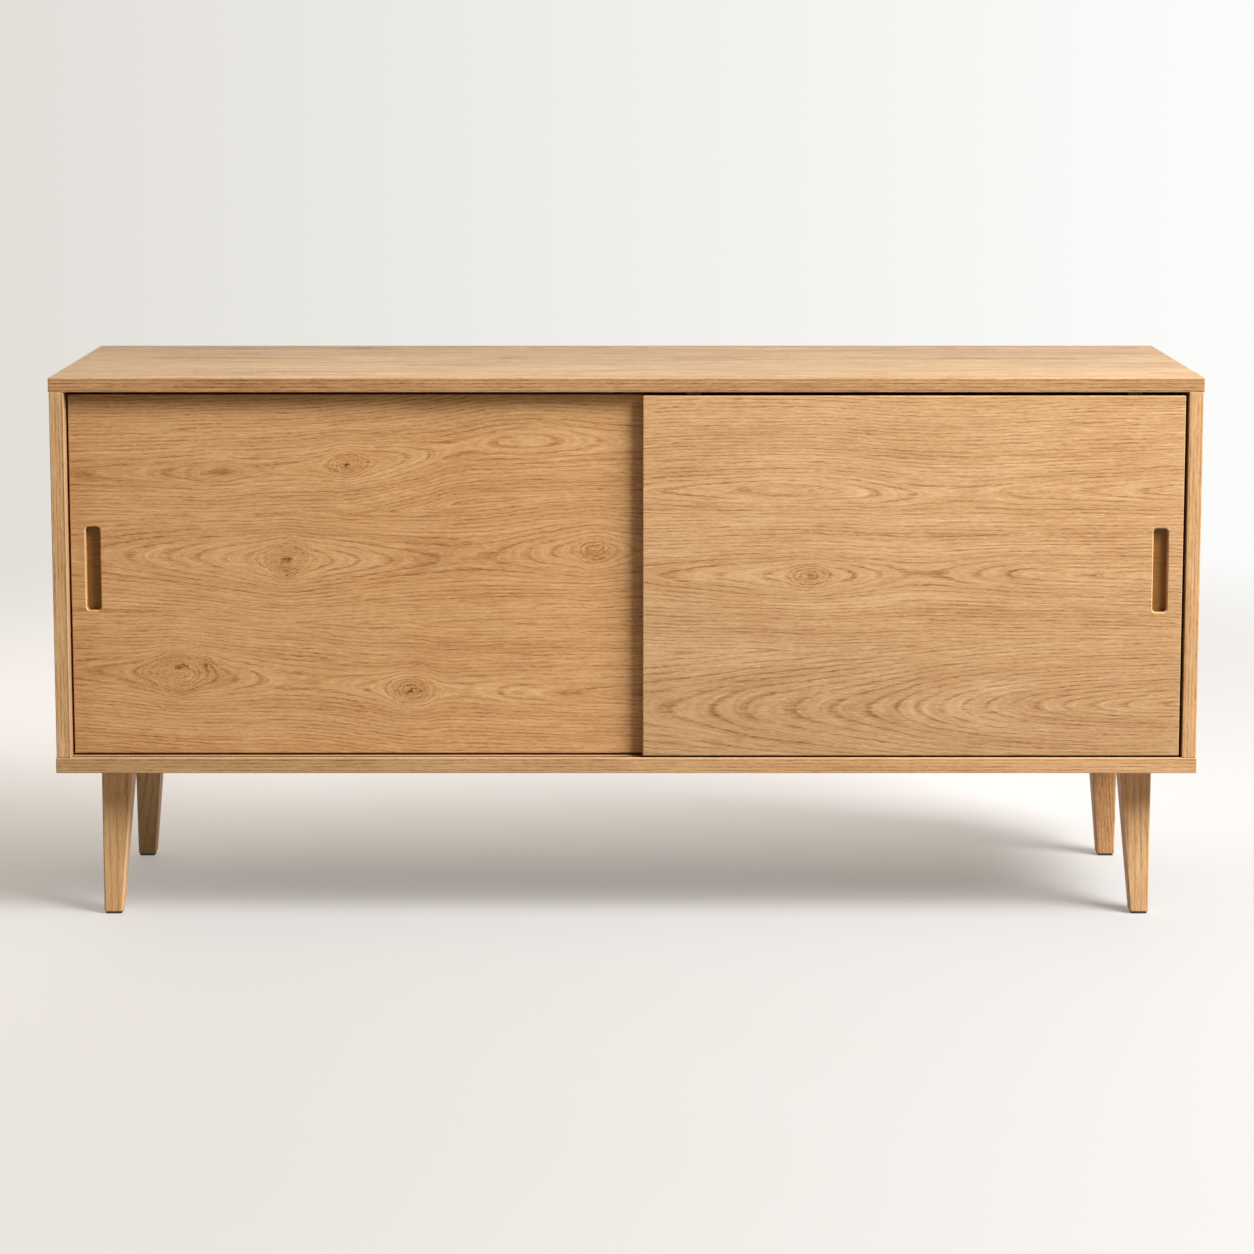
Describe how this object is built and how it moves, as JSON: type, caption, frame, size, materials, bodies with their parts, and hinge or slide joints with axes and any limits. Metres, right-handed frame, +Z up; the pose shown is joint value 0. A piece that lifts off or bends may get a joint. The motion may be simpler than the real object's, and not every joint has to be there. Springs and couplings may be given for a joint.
{
  "type": "sliding door cabinet",
  "caption": "Low wooden cabinet with two overlapping sliding doors on grooved tracks, routed finger pulls, inner shelves and tapered legs.",
  "frame": {"origin": "on the floor, under the middle of the cabinet", "axes": "+Z up; +X from left to right, along the doors' travel; the front with the doors faces -Y"},
  "size_m": [1.6, 0.45, 0.775],
  "materials": {
    "oak_case": "clear matte lacquer on oak veneer",
    "oak_door": "clear matte lacquer on oak veneer, grain across the door",
    "oak_leg": "clear matte lacquer on solid oak",
    "oak_inside": "thin matte lacquer on oak veneer",
    "back_board": "thin oak-faced board, matte",
    "track_plastic": "satin extruded plastic in an oak tone",
    "dark_plastic": "fine matte moulding",
    "nylon": "satin graphite nylon",
    "stop_rubber": "matte",
    "steel": "bright zinc"
  },
  "bodies": {
    "case": {"top_panel": "oak_case", "bottom_panel": "oak_case", "side_panel_left": "oak_case", "side_panel_right": "oak_case", "centre_divider": "oak_inside", "shelf_left": "oak_inside", "shelf_right": "oak_inside", "back_panel": "back_board", "floor_track_front": "track_plastic", "top_track_front": "track_plastic", "track_stop_front_left": "stop_rubber", "track_stop_front_right": "stop_rubber", "floor_track_rear": "track_plastic", "top_track_rear": "track_plastic", "track_stop_rear_left": "stop_rubber", "track_stop_rear_right": "stop_rubber", "leg_front_left": "oak_leg", "leg_bolt_front_left": "steel", "leg_insert_front_left": "steel", "foot_glide_front_left": "dark_plastic", "leg_front_right": "oak_leg", "leg_bolt_front_right": "steel", "leg_insert_front_right": "steel", "foot_glide_front_right": "dark_plastic", "leg_rear_left": "oak_leg", "leg_bolt_rear_left": "steel", "leg_insert_rear_left": "steel", "foot_glide_rear_left": "dark_plastic", "leg_rear_right": "oak_leg", "leg_bolt_rear_right": "steel", "leg_insert_rear_right": "steel", "foot_glide_rear_right": "dark_plastic", "shelf_pin_left_outer_front": "steel", "shelf_pin_left_outer_rear": "steel", "shelf_pin_left_inner_front": "steel", "shelf_pin_left_inner_rear": "steel", "shelf_pin_right_outer_front": "steel", "shelf_pin_right_outer_rear": "steel", "shelf_pin_right_inner_front": "steel", "shelf_pin_right_inner_rear": "steel"},
    "left_door": {"left_door_panel": "oak_door", "left_door_roller_housing_outer": "dark_plastic", "left_door_axle_outer": "steel", "left_door_top_guide_outer": "nylon", "left_door_roller_housing_inner": "dark_plastic", "left_door_axle_inner": "steel", "left_door_top_guide_inner": "nylon"},
    "right_door": {"right_door_panel": "oak_door", "right_door_roller_housing_outer": "dark_plastic", "right_door_axle_outer": "steel", "right_door_top_guide_outer": "nylon", "right_door_roller_housing_inner": "dark_plastic", "right_door_axle_inner": "steel", "right_door_top_guide_inner": "nylon"},
    "left_door_wheel_outer": {"left_door_roller_outer": "nylon"},
    "left_door_wheel_inner": {"left_door_roller_inner": "nylon"},
    "right_door_wheel_outer": {"right_door_roller_outer": "nylon"},
    "right_door_wheel_inner": {"right_door_roller_inner": "nylon"}
  },
  "joints": [
    {"name": "left_door_slide", "type": "slide", "parent": "case", "child": "left_door", "axis": [1, 0, 0], "range_m": [0, 0.732]},
    {"name": "right_door_slide", "type": "slide", "parent": "case", "child": "right_door", "axis": [1, 0, 0], "range_m": [-0.7975, 0]},
    {"name": "left_door_wheel_outer_spin", "type": "hinge", "parent": "left_door", "child": "left_door_wheel_outer", "pos_m": [-0.706, -0.2005, 0.2457], "axis": [0, 1, 0], "continuous": true},
    {"name": "left_door_wheel_inner_spin", "type": "hinge", "parent": "left_door", "child": "left_door_wheel_inner", "pos_m": [-0.026, -0.2005, 0.2457], "axis": [0, 1, 0], "continuous": true},
    {"name": "right_door_wheel_outer_spin", "type": "hinge", "parent": "right_door", "child": "right_door_wheel_outer", "pos_m": [0.7045, -0.2165, 0.2457], "axis": [0, 1, 0], "continuous": true},
    {"name": "right_door_wheel_inner_spin", "type": "hinge", "parent": "right_door", "child": "right_door_wheel_inner", "pos_m": [0.093, -0.2165, 0.2457], "axis": [0, 1, 0], "continuous": true}
  ],
  "couplings": [
    {"joint": "left_door_wheel_outer_spin", "follows": "left_door_slide", "rad_per_m": 106.38},
    {"joint": "left_door_wheel_inner_spin", "follows": "left_door_slide", "rad_per_m": 106.38},
    {"joint": "right_door_wheel_outer_spin", "follows": "right_door_slide", "rad_per_m": 106.38},
    {"joint": "right_door_wheel_inner_spin", "follows": "right_door_slide", "rad_per_m": 106.38}
  ]
}
